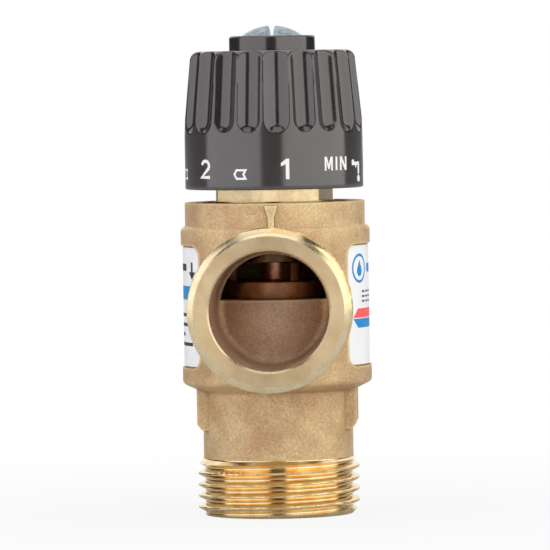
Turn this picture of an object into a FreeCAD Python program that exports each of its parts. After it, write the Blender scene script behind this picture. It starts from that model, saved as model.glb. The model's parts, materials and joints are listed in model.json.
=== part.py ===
"""Three-way thermostatic mixing valve with G 1 male ports, modelled in FreeCAD.

Millimetres, +Z up. The origin is the centre of the outlet's end face. The cold inlet points along -Y,
the hot inlet along +Y and the mixed outlet down. Each function returns one piece of the valve, in its
place with the valve set a little above the first mark on its dial.
"""
import FreeCAD, Part
import math
import os

V = FreeCAD.Vector
X = V(1, 0, 0)
Y = V(0, 1, 0)
Z = V(0, 0, 1)
O = V(0, 0, 0)

# ---- edges of turned, moulded and cast pieces ----------------------------------------------------
fine_edge = 0.2
turned_edge = 0.3
bevelled_edge = 0.4
cast_edge = 0.5
overshoot = 1.0              # that cutters reach past a face
bite = 0.1                   # that two joined shapes share
fit_gap = 0.02               # between fixed pieces that seat on each other

# ---- pipe ends: G 1 male thread, left at its major diameter -------------------------------------
thread_d = 33.249            # G 1 major diameter
thread_length = 11.7         # from the end face to the run-out
thread_lead_in = 1.5         # bevel at the end face
thread_runout = 1.2          # cone behind the last turn
port_bore_d = 24.3           # machined mouth of each port
port_core_d = 22.4           # cored bore at the inner end of a side port
port_wall = 2.45             # cast wall of a port's neck
mouth_bevel = 0.35
side_port_reach = 35.0       # valve axis to a side port's end face
outlet_drop = 43.2           # side ports' axis to the outlet's end face
neck_root_radius = 0.6       # run-out into the neck
outlet_neck_d = 30.9
outlet_bore_depth = 14.0
outlet_bore_root = 0.8

# ---- inner works: the shuttle between its two seats ----------------------------------------------
shuttle_d = 22.8
shuttle_wall = 1.5
shuttle_length = 14.3
cold_gap = 3.9               # shuttle's top edge to the cold seat
hot_gap = 1.5                # shuttle's bottom edge to the hot seat
cold_seat_above_ports = 9.0  # cold seat to the side ports' axis
seat_clearance = 0.1         # left at each stop when a moving piece is at its limit
running_gap = 0.05           # radial gap of sliding and turning pieces
partition_above_ports = 1.5  # top of the wall between the chambers
partition_thickness = 4.0
seat_land = 1.8              # width of the hot seat's rim
seat_height = 2.0
annulus = 3.2                # flow space around the shuttle
web_thickness = 2.4          # wall that closes a side port from the other chamber
web_root_radius = 1.2
window_d = 22.0              # opening from a side port into its chamber

# ---- casting --------------------------------------------------------------------------------------
casting_wall = 4.9
body_half_height = 15.9      # either side of the side ports' axis
collar_height = 5.4
collar_inset = 0.95
body_edge_radius = 1.1
collar_step_height = 0.5
collar_rim_edge = 0.15
underside_slope_height = 1.5
neck_blend_radius = 1.0
pad_width = 13.0             # cast pads either side of the outlet's neck
pad_rise = 0.95
pad_drop = 9.6
pad_bevel = 1.3
pad_root = 2.0               # that a pad reaches into the neck
label_width_deg = 76.0
label_height = 24.4
label_thickness = 0.12
label_corner_radius = 2.0
label_margin = 0.35
label_pocket_depth = 0.5
mark_width = 2.7             # cast pointer that the dial is read against
mark_stem_width = 1.25
mark_rise = 0.5
mark_top_inset = 0.5
mark_head_height = 2.4
mark_corner_radius = 0.25

# ---- bonnet ---------------------------------------------------------------------------------------
bonnet_thread_d = 30.0
bonnet_recess = 0.3          # bonnet's shoulder below the collar's rim
bonnet_thread_height = 6.2
bonnet_plain_height = 3.4
bonnet_plain_step = 0.8
bonnet_seal_land = 0.6       # between the thread and the seal's groove
bonnet_foot_d = 24.9
bonnet_foot_height = 0.5
hex_across_flats = 22.0
hex_corner_d = 24.4
hex_height = 5.6
hex_bevel = 0.6
hex_first_corner_deg = -14.0 # from the cold inlet's direction
finger_clearance = 0.3       # bonnet's thread above the shuttle's fingers at their highest
skirt_overlap = 0.1          # cold seat's outer edge outside the shuttle's
skirt_seat_width = 2.0
tower_d = 18.0
tower_height = 14.0

# ---- seals ----------------------------------------------------------------------------------------
bonnet_seal_section = 1.6
shuttle_seal_section = 2.0
spindle_seal_section = 1.1
seal_groove_extra = 0.1      # groove height over the seal's section

# ---- spindle and setting --------------------------------------------------------------------------
spindle_thread_d = 15.0
spindle_cup_wall = 1.6
spindle_cup_depth = 14.0
spindle_thread_height = 16.5
spindle_stem_d = 10.0
spline_d = 9.2
spline_root_d = 8.2
spline_teeth = 18
spline_core_inset = 0.2      # plain core inside the serration's root
spindle_drill_tip = 1.0
setting_lead = 3.0           # axial travel per turn of the knob
setting_down_deg = 45.6      # dial from its rest to the cold end
setting_up_deg = 260.6       # dial from its rest to the hot end
overtravel = 1.5
plunger_clearance = 0.2      # above the element's neck when both are at their limits
spindle_lip = 0.7            # below the clip's groove
low_seal_share = 0.15        # of the way up the tower's bore that both seals can use
high_seal_share = 0.75
plunger_flange_height = 1.7
plunger_stub_play = 0.88     # inside the clip, on the radius
plunger_stub_drop = 1.3
plunger_post_d = 4.4
plunger_post_height = 5.0
pin_d = 3.0
pin_socket_depth = 3.9
pin_engagement = 1.3         # left in the guide when the pin is furthest out
washer_thickness = 0.8
washer_hole_d = 5.2
clip_thickness = 0.9
clip_bite = 0.5
clip_width = 1.9
clip_gap_deg = 50.0
overtravel_wire_d = 1.2
overtravel_turns = 5.5
overtravel_coil_play = 0.6   # between the coil and the cup, on the diameter

# ---- wax element ----------------------------------------------------------------------------------
element_neck_d = 6.0
element_neck_height = 4.2
element_flange_d = 12.0
element_flange_height = 1.3
element_cup_d = 10.0
element_cup_wall = 0.6
element_cup_length = 21.0
element_cup_corner = 1.5
element_cup_root = 1.0
element_guide_depth = 5.5
diaphragm_thickness = 1.2

# ---- shuttle's spider and return spring -----------------------------------------------------------
hub_d = 14.0
spider_height = 3.2
spoke_count = 3
spoke_width = 2.4
spoke_first_deg = 27.0       # from the cold inlet's direction
finger_height = 5.7
finger_thickness = 1.2
finger_width = 1.7
finger_play = 0.2            # inside the bonnet's skirt
spoke_root = 0.5             # that a spoke reaches into the hub and the sleeve
spoke_inset = 0.2            # spoke's end inside the sleeve's outside
coil_flat_turns = 0.75       # closed stretch at each end of both springs
coil_steps_per_turn = 20
coil_wire_sides = 8
spring_wire_d = 1.2
spring_mean_d = 17.8
spring_turns = 6.5
spring_ledge_z = 17.0
spring_ledge_hole_d = 16.4
mixing_bore_d = 19.8

# ---- knob -----------------------------------------------------------------------------------------
knob_gap = 2.65              # collar's rim to the knob's skirt
knob_skirt_d = 36.76
knob_top_d = 34.0
knob_height = 28.45
knob_skirt_height = 14.3
knob_shoulder_radius = 3.0
knob_corner_radius = 2.0
knob_rim_radius = 0.3
knob_wall = 1.9
knob_roof = 2.6
knob_cavity_radius = 0.8
knob_cavity_step = 2.5       # height of the cavity's step behind the flutes
knob_cavity_draft = 0.5
knob_cavity_root = 1.0
knob_hub_d = 15.2
knob_boss_d = 17.86
knob_boss_height = 3.05
knob_boss_radius = 0.4
knob_clamp_thickness = 2.4   # knob's floor between the spindle's end and the screw's head
flute_count = 20
flute_radius = 2.9
flute_depth = 1.3
flute_end_height = 11.85     # lowest point of a flute above the knob's rim
flute_first_deg = 4.7        # from the cold inlet's direction
knob_rib_count = 6
knob_rib_thickness = 1.2
knob_rib_height = 5.0

# ---- knob screw: M6 slotted pan head --------------------------------------------------------------
screw_d = 6.0
screw_head_d = 12.3
screw_head_height = 3.6
screw_dome_height = 2.05
screw_slot_width = 1.6
screw_slot_depth = 2.2
screw_slot_turn_deg = 3.0
screw_length = 12.0
screw_head_gap = 0.35
screw_hole_play = 0.25       # in the knob, on the radius
screw_tip_bevel = 0.6

# ---- levels and radii that follow -----------------------------------------------------------------
thread_r = thread_d / 2
port_r = port_bore_d / 2
port_z = outlet_drop
side_neck_r = port_r + port_wall
shuttle_r = shuttle_d / 2
chamber_r = shuttle_r + annulus
web_r = chamber_r + web_thickness
body_r = chamber_r + casting_wall
body_bottom = port_z - body_half_height
body_top = port_z + body_half_height
collar_r = body_r - collar_inset
collar_top = body_top + collar_height
partition_top = port_z + partition_above_ports
partition_bottom = partition_top - partition_thickness
cold_seat_z = port_z + cold_seat_above_ports
shuttle_top = cold_seat_z - cold_gap
shuttle_bottom = shuttle_top - shuttle_length
hot_seat_z = shuttle_bottom - hot_gap
label_r = body_r - label_pocket_depth

bonnet_thread_r = bonnet_thread_d / 2
bonnet_plain_r = bonnet_thread_r - bonnet_plain_step
bonnet_shoulder = collar_top - bonnet_recess
bonnet_thread_bottom = bonnet_shoulder - bonnet_thread_height
bonnet_bottom = bonnet_thread_bottom - bonnet_plain_height
hex_bottom = bonnet_shoulder + bonnet_foot_height
hex_top = hex_bottom + hex_height
tower_top = hex_top + tower_height
skirt_r = shuttle_r + skirt_overlap
skirt_hole_r = skirt_r - skirt_seat_width

setting_down = setting_lead * setting_down_deg / 360
setting_up = setting_lead * setting_up_deg / 360
spindle_thread_r = spindle_thread_d / 2
spindle_stem_r = spindle_stem_d / 2
spindle_cup_r = spindle_thread_r - spindle_cup_wall
clip_r = spindle_cup_r + clip_bite
plunger_stub_r = clip_r - fit_gap - clip_width - plunger_stub_play
plunger_bottom = shuttle_top + element_neck_height + cold_gap + setting_down + plunger_clearance
clip_bottom = plunger_bottom + plunger_stub_drop - clip_thickness - 2 * fit_gap
spindle_bottom = clip_bottom - spindle_lip
spindle_shoulder = spindle_bottom + spindle_thread_height
spindle_cup_top = spindle_bottom + spindle_cup_depth
bonnet_inner_shoulder = spindle_shoulder + setting_up + seat_clearance

knob_bottom = collar_top + knob_gap
knob_top = knob_bottom + knob_height
boss_top = knob_top + knob_boss_height
screw_seat = boss_top + screw_dome_height - screw_head_height
hub_bottom = tower_top + setting_down + seat_clearance
spindle_top = screw_seat - knob_clamp_thickness


# ---- helpers --------------------------------------------------------------------------------------
def cylinder(radius, bottom, top):
    return Part.makeCylinder(radius, top - bottom, V(0, 0, bottom), Z)


def tube(outer, inner, bottom, top):
    return cylinder(outer, bottom, top).cut(cylinder(inner, bottom - overshoot, top + overshoot))


def rounded_wire(corners, place):
    """Closed wire through (a, b, radius) corners, each rounded by an arc.

    place turns a corner, given as the vector (a, b, 0), into a point of the wire.
    """
    count = len(corners)
    cuts = []
    for i, (a, b, radius) in enumerate(corners):
        here = V(a, b, 0)
        before = V(*corners[i - 1][:2], 0).sub(here)
        after = V(*corners[(i + 1) % count][:2], 0).sub(here)
        if radius == 0:
            cuts.append((here, None, here))
            continue
        before.normalize()
        after.normalize()
        half = before.getAngle(after) / 2
        reach = radius / math.tan(half)
        middle = before.add(after)
        middle.normalize()
        centre = here.add(middle * (radius / math.sin(half)))
        cuts.append((here.add(before * reach), centre.sub(middle * radius), here.add(after * reach)))
    edges = []
    for i, (start, through, end) in enumerate(cuts):
        if through is not None:
            edges.append(Part.Arc(place(start), place(through), place(end)).toShape())
        following = cuts[(i + 1) % count][0]
        if end.distanceToPoint(following) > 1e-6:
            edges.append(Part.LineSegment(place(end), place(following)).toShape())
    return Part.Wire(edges)


def turned(corners):
    """Solid of revolution about Z from (radius, height, corner radius) points."""
    wire = rounded_wire(corners, lambda p: V(p.x, 0, p.y))
    return Part.Face(wire).revolve(O, Z, 360)


def prism(corners, place, direction):
    return Part.Face(rounded_wire(corners, place)).extrude(direction)


def spun(shape, degrees):
    copy = shape.copy()
    copy.rotate(O, Z, degrees)
    return copy


def ring_seal(section, inner_radius, middle_height):
    return Part.makeTorus(inner_radius + section / 2, section / 2, V(0, 0, middle_height), Z)


def coil_spring(wire_d, mean_d, turns, bottom, top):
    """Coil with closed ends, as rings of points along its wire joined by flat triangles."""
    steps = round(turns * coil_steps_per_turn)
    points = []
    for i in range(steps + 1):
        turn = turns * i / steps
        height = coil_height(turn, turns, wire_d, bottom, top)
        around = 2 * math.pi * turn
        for j in range(coil_wire_sides):
            across = 2 * math.pi * (j + 0.5) / coil_wire_sides
            radius = mean_d / 2 + wire_d / 2 * math.cos(across)
            level = height + wire_d / 2 * math.sin(across)
            points.append(V(radius * math.cos(around), radius * math.sin(around), level))
    triangles = []
    for i in range(steps):
        for j in range(coil_wire_sides):
            low = i * coil_wire_sides
            high = low + coil_wire_sides
            k = (j + 1) % coil_wire_sides
            triangles += [(low + j, high + j, high + k), (low + j, high + k, low + k)]
    last = steps * coil_wire_sides
    for j in range(1, coil_wire_sides - 1):
        triangles += [(0, j, j + 1), (last, last + j + 1, last + j)]
    shell = Part.Shape()
    shell.makeShapeFromMesh((points, triangles), wire_d / 1000)
    solid = Part.Solid(Part.Shell(shell.Faces))
    if solid.Volume < 0:
        solid.reverse()
    return solid


def coil_height(turn, turns, wire_d, bottom, top):
    """Height of the wire's middle: the end turns lie almost flat, and the rest rise evenly."""
    lowest = bottom + wire_d / 2
    highest = top - wire_d / 2
    flat_rise = coil_flat_turns * wire_d
    if turn < coil_flat_turns:
        return lowest + turn * wire_d
    if turn > turns - coil_flat_turns:
        return highest - (turns - turn) * wire_d
    share = (turn - coil_flat_turns) / (turns - 2 * coil_flat_turns)
    return lowest + flat_rise + share * (highest - lowest - 2 * flat_rise)


def spline_section(tip_r, root_r, height):
    """Face of a serrated shaft."""
    points = []
    for i in range(2 * spline_teeth):
        radius = tip_r if i % 2 == 0 else root_r
        angle = math.pi * i / spline_teeth
        points.append(V(radius * math.cos(angle), radius * math.sin(angle), height))
    return Part.Face(Part.makePolygon(points + points[:1]))


# ---- body casting ---------------------------------------------------------------------------------
def pipe_end_profile(reach, neck_r, inner_end):
    """Outside of a port as (radius, distance from the end face), run-out and neck included."""
    return [
        (0, 0, 0),
        (thread_r - thread_lead_in, 0, 0),
        (thread_r, thread_lead_in, 0),
        (thread_r, thread_length - thread_runout, 0),
        (neck_r, thread_length, neck_root_radius),
        (neck_r, reach - inner_end, 0),
        (0, reach - inner_end, 0),
    ]


def aimed(solid, direction):
    """Turns a port made upwards from z = 0 round to a side: its end face then looks along direction."""
    solid.rotate(O, X, 90)
    if direction.y > 0:
        solid.rotate(O, Z, 180)
    solid.translate(V(0, 0, port_z))
    return solid


def side_port_outside(direction):
    port = turned(pipe_end_profile(side_port_reach, side_neck_r, 0))
    port.rotate(O, X, 180)
    port.translate(V(0, 0, side_port_reach))
    return aimed(port, direction)


def trunk():
    """Turned outside of the casting: outlet, body cylinder and collar."""
    outlet = pipe_end_profile(body_bottom, outlet_neck_d / 2, underside_slope_height)
    slope_in = outlet_neck_d / 2 + pad_rise
    profile = outlet[:-2] + [
        (outlet_neck_d / 2, body_bottom - underside_slope_height, cast_edge),
        (slope_in, body_bottom - underside_slope_height, 0),
        (body_r, body_bottom, body_edge_radius),
        (body_r, body_top, body_edge_radius),
        (collar_r, body_top + collar_step_height, bevelled_edge),
        (collar_r, collar_top, collar_rim_edge),
        (0, collar_top, 0),
    ]
    return turned(profile)


def neck_pad(side):
    """Cast pad on one side of the outlet's neck, with a bevelled lower edge."""
    face_x = outlet_neck_d / 2 + pad_rise
    top = body_bottom
    bottom = top - pad_drop
    inner_x = outlet_neck_d / 2 - pad_root
    corners = [
        (inner_x, bottom, 0),
        (face_x - pad_rise, bottom, 0),
        (face_x, bottom + pad_bevel, bevelled_edge),
        (face_x, top, 0),
        (inner_x, top, 0),
    ]
    return prism(corners, lambda p: V(side * p.x, -pad_width / 2, p.y), V(0, pad_width, 0))


def label_outline(margin):
    """Rounded rectangle that the label, or its pocket, shows from the side."""
    half_width = label_r * math.sin(math.radians(label_width_deg / 2)) + margin
    half_height = label_height / 2 + margin
    radius = label_corner_radius + margin
    return [
        (-half_width, port_z - half_height, radius),
        (half_width, port_z - half_height, radius),
        (half_width, port_z + half_height, radius),
        (-half_width, port_z + half_height, radius),
    ]


def label_block(margin, side):
    return prism(label_outline(margin), lambda p: V(side * chamber_r, p.x, p.y), V(side * body_r, 0, 0))


def index_mark():
    """Raised pointer on the collar above the cold inlet: a tapered head on a stem."""
    top = collar_top - mark_top_inset
    neck_z = top - mark_head_height
    half_head = mark_width / 2
    half_stem = mark_stem_width / 2
    corners = [
        (-half_head, top, mark_corner_radius),
        (-half_stem, neck_z, mark_corner_radius),
        (-half_stem, body_top, 0),
        (half_stem, body_top, 0),
        (half_stem, neck_z, mark_corner_radius),
        (half_head, top, mark_corner_radius),
    ]
    mark = prism(corners, lambda p: V(p.x, 0, p.y), V(0, -body_r, 0))
    return mark.common(tube(collar_r + mark_rise, collar_r - overshoot, body_top - overshoot, collar_top))


def side_bore(direction):
    """Cored bore of a side port, drafted from the valve's axis to the port's mouth."""
    return Part.makeCone(port_core_d / 2, port_r, side_port_reach, V(0, 0, port_z), direction)


def side_mouth(direction):
    """Bore outside the chambers; its blind end follows their wall, the web, with a rounded root."""
    blind = side_bore(direction).cut(cylinder(web_r, 0, collar_top))
    root = [e for e in blind.Edges if is_web_root(e)]
    return blind.makeFillet(web_root_radius, root)


def is_web_root(edge):
    """True for the curve where a side port's bore runs into the web."""
    box = edge.BoundBox
    farthest = max(abs(box.YMin), abs(box.YMax))
    return abs(farthest - web_r) < bite and box.XLength > port_core_d / 2


def side_window(direction, bottom, top):
    """Opening through the web, between two levels."""
    start = V(0, 0, port_z) + direction * (chamber_r / 2)
    length = web_r + web_root_radius - chamber_r / 2
    window = Part.makeCylinder(window_d / 2, length, start, direction)
    return window.common(cylinder(body_r, bottom, top))


def mouth_bevel_cutter(direction):
    start = V(0, 0, port_z) + direction * (side_port_reach - 2 * mouth_bevel)
    return Part.makeCone(port_r - mouth_bevel, port_r + mouth_bevel, 2 * mouth_bevel, start, direction)


def valve_body():
    solid = trunk()
    solid = solid.fuse(side_port_outside(-Y)).fuse(side_port_outside(Y)).removeSplitter()
    solid = blended_necks(solid)
    for side in (-1, 1):
        solid = solid.fuse(neck_pad(side))
        pocket = label_block(label_margin, side).cut(cylinder(label_r, 0, collar_top))
        solid = solid.cut(pocket)
    solid = solid.fuse(index_mark())
    for space in flow_spaces():
        solid = solid.cut(space)
    return solid


def blended_necks(solid):
    """Rounds the corner between the body cylinder and each side port's neck."""
    corner = [e for e in solid.Edges if is_neck_corner(e)]
    return solid.makeFillet(neck_blend_radius, corner)


def is_neck_corner(edge):
    box = edge.BoundBox
    middle_z = (box.ZMin + box.ZMax) / 2
    nearest = min(abs(box.YMin), abs(box.YMax))
    return (
        abs(middle_z - port_z) < side_neck_r + bite
        and box.YMin * box.YMax > 0
        and nearest > body_r / 2
        and max(abs(box.YMin), abs(box.YMax)) < body_r + bite
        and box.ZLength > neck_blend_radius
    )


def flow_spaces():
    """Everything cored or bored out of the casting."""
    seat_outer = mixing_bore_d / 2 + seat_land
    groove_middle = (partition_top + partition_bottom) / 2
    groove_half = (shuttle_seal_section + seal_groove_extra) / 2
    groove_r = shuttle_r + running_gap + shuttle_seal_section
    return [
        side_mouth(-Y),
        side_window(-Y, partition_top, collar_top),
        mouth_bevel_cutter(-Y),
        side_mouth(Y),
        side_window(Y, hot_seat_z, partition_bottom),
        mouth_bevel_cutter(Y),
        outlet_passage(),
        cylinder(chamber_r, hot_seat_z, partition_bottom),
        tube(chamber_r, seat_outer, hot_seat_z - seat_height, hot_seat_z + bite),
        cylinder(shuttle_r + running_gap, partition_bottom - overshoot, partition_top + overshoot),
        cylinder(groove_r, groove_middle - groove_half, groove_middle + groove_half),
        cylinder(chamber_r, partition_top, bonnet_bottom),
        cylinder(bonnet_plain_r, bonnet_bottom - overshoot, bonnet_thread_bottom + overshoot),
        cylinder(bonnet_thread_r, bonnet_thread_bottom, collar_top + overshoot),
    ]


def outlet_passage():
    """Mixed water's way down: mixing bore, spring ledge and the port's machined mouth."""
    ledge_r = spring_ledge_hole_d / 2
    return turned([
        (0, 0, 0),
        (port_r + mouth_bevel, 0, 0),
        (port_r, mouth_bevel, 0),
        (port_r, outlet_bore_depth, outlet_bore_root),
        (ledge_r, outlet_bore_depth, 0),
        (ledge_r, spring_ledge_z, 0),
        (mixing_bore_d / 2, spring_ledge_z, 0),
        (mixing_bore_d / 2, partition_bottom, 0),
        (0, partition_bottom, 0),
    ])


def rating_label(side):
    shell = tube(label_r + label_thickness, label_r, 0, collar_top)
    return shell.common(label_block(0, side))


# ---- bonnet ---------------------------------------------------------------------------------------
def bonnet():
    """Turned from hexagon bar: hexagon, thread, seal groove, cold seat below and tower above."""
    groove_r = bonnet_plain_r - bonnet_seal_section
    groove_top = bonnet_thread_bottom - bonnet_seal_land
    groove_bottom = groove_top - bonnet_seal_section - seal_groove_extra
    outside = [
        (skirt_hole_r, cold_seat_z, 0),
        (skirt_r, cold_seat_z, fine_edge),
        (skirt_r, bonnet_bottom, turned_edge),
        (bonnet_plain_r - fit_gap, bonnet_bottom, 0),
        (bonnet_plain_r - fit_gap, groove_bottom, 0),
        (groove_r - fit_gap, groove_bottom, 0),
        (groove_r - fit_gap, groove_top, 0),
        (bonnet_plain_r - fit_gap, groove_top, 0),
        (bonnet_plain_r - fit_gap, bonnet_thread_bottom + fit_gap, 0),
        (bonnet_thread_r - fit_gap, bonnet_thread_bottom + fit_gap, fine_edge),
        (bonnet_thread_r - fit_gap, bonnet_shoulder, turned_edge),
        (bonnet_foot_d / 2, bonnet_shoulder, 0),
        (bonnet_foot_d / 2, hex_bottom, 0),
        (tower_d / 2, hex_bottom, 0),
        (tower_d / 2, tower_top, bevelled_edge),
        (spindle_stem_r + running_gap, tower_top, 0),
        (spindle_stem_r + running_gap, bonnet_inner_shoulder, 0),
        (spindle_thread_r + running_gap, bonnet_inner_shoulder, 0),
        (spindle_thread_r + running_gap, finger_roof(), 0),
        (skirt_hole_r, finger_roof(), 0),
    ]
    return turned(outside).fuse(bonnet_hexagon()).removeSplitter()


def finger_roof():
    """Underside of the bonnet's thread, clear of the shuttle's fingers at their highest."""
    return shuttle_top - element_flange_height + finger_height + cold_gap + finger_clearance


def bonnet_hexagon():
    corners = []
    radius = hex_across_flats / math.sqrt(3)
    for i in range(6):
        angle = math.radians(60 * i + hex_first_corner_deg)
        corners.append(V(radius * math.sin(angle), -radius * math.cos(angle), hex_bottom))
    block = Part.Face(Part.makePolygon(corners + corners[:1])).extrude(V(0, 0, hex_height))
    bar = turned([
        (0, hex_bottom, 0),
        (hex_corner_d / 2, hex_bottom, 0),
        (hex_corner_d / 2, hex_top - hex_bevel, 0),
        (hex_corner_d / 2 - 2 * hex_bevel, hex_top, 0),
        (0, hex_top, 0),
    ])
    hole = cylinder(tower_d / 2 - overshoot, hex_bottom - overshoot, hex_top + overshoot)
    return block.common(bar).cut(hole)


def bonnet_oring():
    groove_r = bonnet_plain_r - bonnet_seal_section
    middle = bonnet_thread_bottom - bonnet_seal_land - (bonnet_seal_section + seal_groove_extra) / 2
    return ring_seal(bonnet_seal_section - fit_gap, groove_r, middle)


def shuttle_oring():
    return ring_seal(shuttle_seal_section - fit_gap, shuttle_r + running_gap,
                     (partition_top + partition_bottom) / 2)


# ---- shuttle with its wax element -----------------------------------------------------------------
def shuttle():
    """Sleeve that shuts the cold gap at its top edge and the hot gap at its bottom edge."""
    inner = shuttle_r - shuttle_wall
    hub_top = shuttle_top - element_flange_height
    hub_bottom_z = hub_top - spider_height
    sleeve = turned([
        (inner, shuttle_bottom, turned_edge),
        (shuttle_r, shuttle_bottom, turned_edge),
        (shuttle_r, shuttle_top, turned_edge),
        (inner, shuttle_top, turned_edge),
    ])
    hub = tube(hub_d / 2, element_cup_d / 2 + fit_gap, hub_bottom_z, hub_top)
    solid = sleeve.fuse(hub)
    for i in range(spoke_count):
        angle = spoke_first_deg + 360 * i / spoke_count
        solid = solid.fuse(spun(spoke(inner, hub_bottom_z, hub_top), angle))
        solid = solid.fuse(spun(guide_finger(hub_top), angle))
    return solid.removeSplitter()


def spoke(reach, bottom, top):
    """Spoke towards -Y, from the hub into the sleeve's wall."""
    start = hub_d / 2 - spoke_root
    end = reach + spoke_root
    arm = Part.makeBox(spoke_width, end - start, top - bottom)
    arm.translate(V(-spoke_width / 2, -end, bottom))
    return arm.cut(tube(body_r, shuttle_r - spoke_inset, bottom - overshoot, top + overshoot))


def guide_finger(bottom):
    """Upright finger towards -Y that runs inside the bonnet's skirt and keeps the shuttle in line."""
    outer = skirt_hole_r - finger_play
    finger = Part.makeBox(finger_width, finger_thickness, finger_height)
    finger.translate(V(-finger_width / 2, -outer, bottom))
    return finger.common(cylinder(outer, bottom - overshoot, bottom + finger_height + overshoot))


def element_guide():
    """Brass neck and flange of the wax element, bored for its pin."""
    flange_bottom = shuttle_top - element_flange_height
    return turned([
        (pin_d / 2 + running_gap, flange_bottom - element_guide_depth, 0),
        (element_cup_d / 2 - element_cup_wall - fit_gap, flange_bottom - element_guide_depth, 0),
        (element_cup_d / 2 - element_cup_wall - fit_gap, flange_bottom, 0),
        (element_flange_d / 2, flange_bottom, fine_edge),
        (element_flange_d / 2, shuttle_top, turned_edge),
        (element_neck_d / 2, shuttle_top, turned_edge),
        (element_neck_d / 2, shuttle_top + element_neck_height, bevelled_edge),
        (pin_d / 2 + running_gap, shuttle_top + element_neck_height, 0),
    ])


def element_cup():
    """Drawn copper cup that holds the wax."""
    top = shuttle_top - element_flange_height
    bottom = top - element_cup_length
    outer = element_cup_d / 2
    inner = outer - element_cup_wall
    return turned([
        (0, bottom, 0),
        (outer, bottom, element_cup_corner),
        (outer, top, 0),
        (inner, top, 0),
        (inner, bottom + element_cup_wall, element_cup_root),
        (0, bottom + element_cup_wall, 0),
    ])


def element_diaphragm():
    top = shuttle_top - element_flange_height - element_guide_depth
    return cylinder(element_cup_d / 2 - element_cup_wall - fit_gap, top - diaphragm_thickness, top)


def wax_charge():
    top = shuttle_top - element_flange_height - element_guide_depth - diaphragm_thickness
    bottom = shuttle_top - element_flange_height - element_cup_length + element_cup_wall
    radius = element_cup_d / 2 - element_cup_wall - fit_gap
    return turned([
        (0, bottom, 0),
        (radius, bottom, element_cup_root),
        (radius, top, 0),
        (0, top, 0),
    ])


def return_spring():
    top = shuttle_top - element_flange_height - spider_height
    return coil_spring(spring_wire_d, spring_mean_d, spring_turns, spring_ledge_z, top)


# ---- spindle, plunger and overtravel spring -------------------------------------------------------
def spindle():
    """Threaded cup below, sealed stem in the middle, serrated end for the knob."""
    core_r = spline_root_d / 2 - spline_core_inset
    spline_bottom = hub_bottom - seat_clearance
    hole_bottom = screw_seat - screw_length - overshoot
    profile = [
        (spindle_cup_r, spindle_bottom, 0),
        (spindle_thread_r, spindle_bottom, bevelled_edge),
        (spindle_thread_r, spindle_shoulder, bevelled_edge),
        (spindle_stem_r, spindle_shoulder, 0),
    ]
    groove_r = spindle_stem_r - spindle_seal_section
    half = (spindle_seal_section + seal_groove_extra) / 2
    for middle in spindle_seal_heights():
        profile += [
            (spindle_stem_r, middle - half, 0),
            (groove_r, middle - half, 0),
            (groove_r, middle + half, 0),
            (spindle_stem_r, middle + half, 0),
        ]
    profile += [
        (spindle_stem_r, spline_bottom, turned_edge),
        (core_r, spline_bottom, 0),
        (core_r, spindle_top, 0),
        (screw_d / 2 + fit_gap, spindle_top, 0),
        (screw_d / 2 + fit_gap, hole_bottom, 0),
        (0, hole_bottom - spindle_drill_tip, 0),
        (0, spindle_cup_top, 0),
        (spindle_cup_r, spindle_cup_top, 0),
        (spindle_cup_r, clip_bottom + clip_thickness + fit_gap, 0),
        (clip_r, clip_bottom + clip_thickness + fit_gap, 0),
        (clip_r, clip_bottom - fit_gap, 0),
        (spindle_cup_r, clip_bottom - fit_gap, 0),
    ]
    serration = spline_section(spline_d / 2, spline_root_d / 2, spline_bottom)
    teeth = serration.extrude(V(0, 0, spindle_top - spline_bottom))
    bore = cylinder(screw_d / 2 + fit_gap, hub_bottom - overshoot, spindle_top + overshoot)
    return turned(profile).fuse(teeth.cut(bore)).removeSplitter()


def spindle_seal_heights():
    """Middle of each seal, low and high: both stay in the tower's bore at either end of the setting."""
    lowest = bonnet_inner_shoulder + setting_down + spindle_seal_section
    highest = tower_top - setting_up - spindle_seal_section
    spread = highest - lowest
    return [lowest + spread * low_seal_share, lowest + spread * high_seal_share]


def spindle_oring(height):
    return ring_seal(spindle_seal_section - fit_gap, spindle_stem_r - spindle_seal_section, height)


def plunger_seat():
    """Top of the clip, which the plunger's flange rests on."""
    return clip_bottom + clip_thickness + fit_gap


def overtravel_plunger():
    flange_bottom = plunger_seat()
    flange_top = flange_bottom + plunger_flange_height
    socket_r = pin_d / 2 + fit_gap
    socket_top = plunger_bottom + pin_socket_depth
    post_top = flange_top + plunger_post_height
    return turned([
        (socket_r, plunger_bottom, 0),
        (plunger_stub_r, plunger_bottom, turned_edge),
        (plunger_stub_r, flange_bottom, 0),
        (spindle_cup_r - running_gap * 2, flange_bottom, 0),
        (spindle_cup_r - running_gap * 2, flange_top, fine_edge),
        (plunger_post_d / 2, flange_top, fine_edge),
        (plunger_post_d / 2, post_top, bevelled_edge),
        (0, post_top, 0),
        (0, socket_top, 0),
        (socket_r, socket_top, 0),
    ])


def element_pin():
    top = plunger_bottom + pin_socket_depth - fit_gap
    stroke = setting_up + overtravel + hot_gap + pin_engagement
    bottom = shuttle_top + element_neck_height - stroke
    return turned([
        (0, bottom, 0),
        (pin_d / 2, bottom, bevelled_edge),
        (pin_d / 2, top, fine_edge),
        (0, top, 0),
    ])


def overtravel_washer():
    top = spindle_cup_top - fit_gap
    return tube(spindle_cup_r - running_gap * 2, washer_hole_d / 2, top - washer_thickness, top)


def overtravel_spring():
    bottom = plunger_seat() + plunger_flange_height
    top = spindle_cup_top - fit_gap - washer_thickness
    mean_d = 2 * spindle_cup_r - overtravel_wire_d - overtravel_coil_play
    return coil_spring(overtravel_wire_d, mean_d, overtravel_turns, bottom, top)


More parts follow.
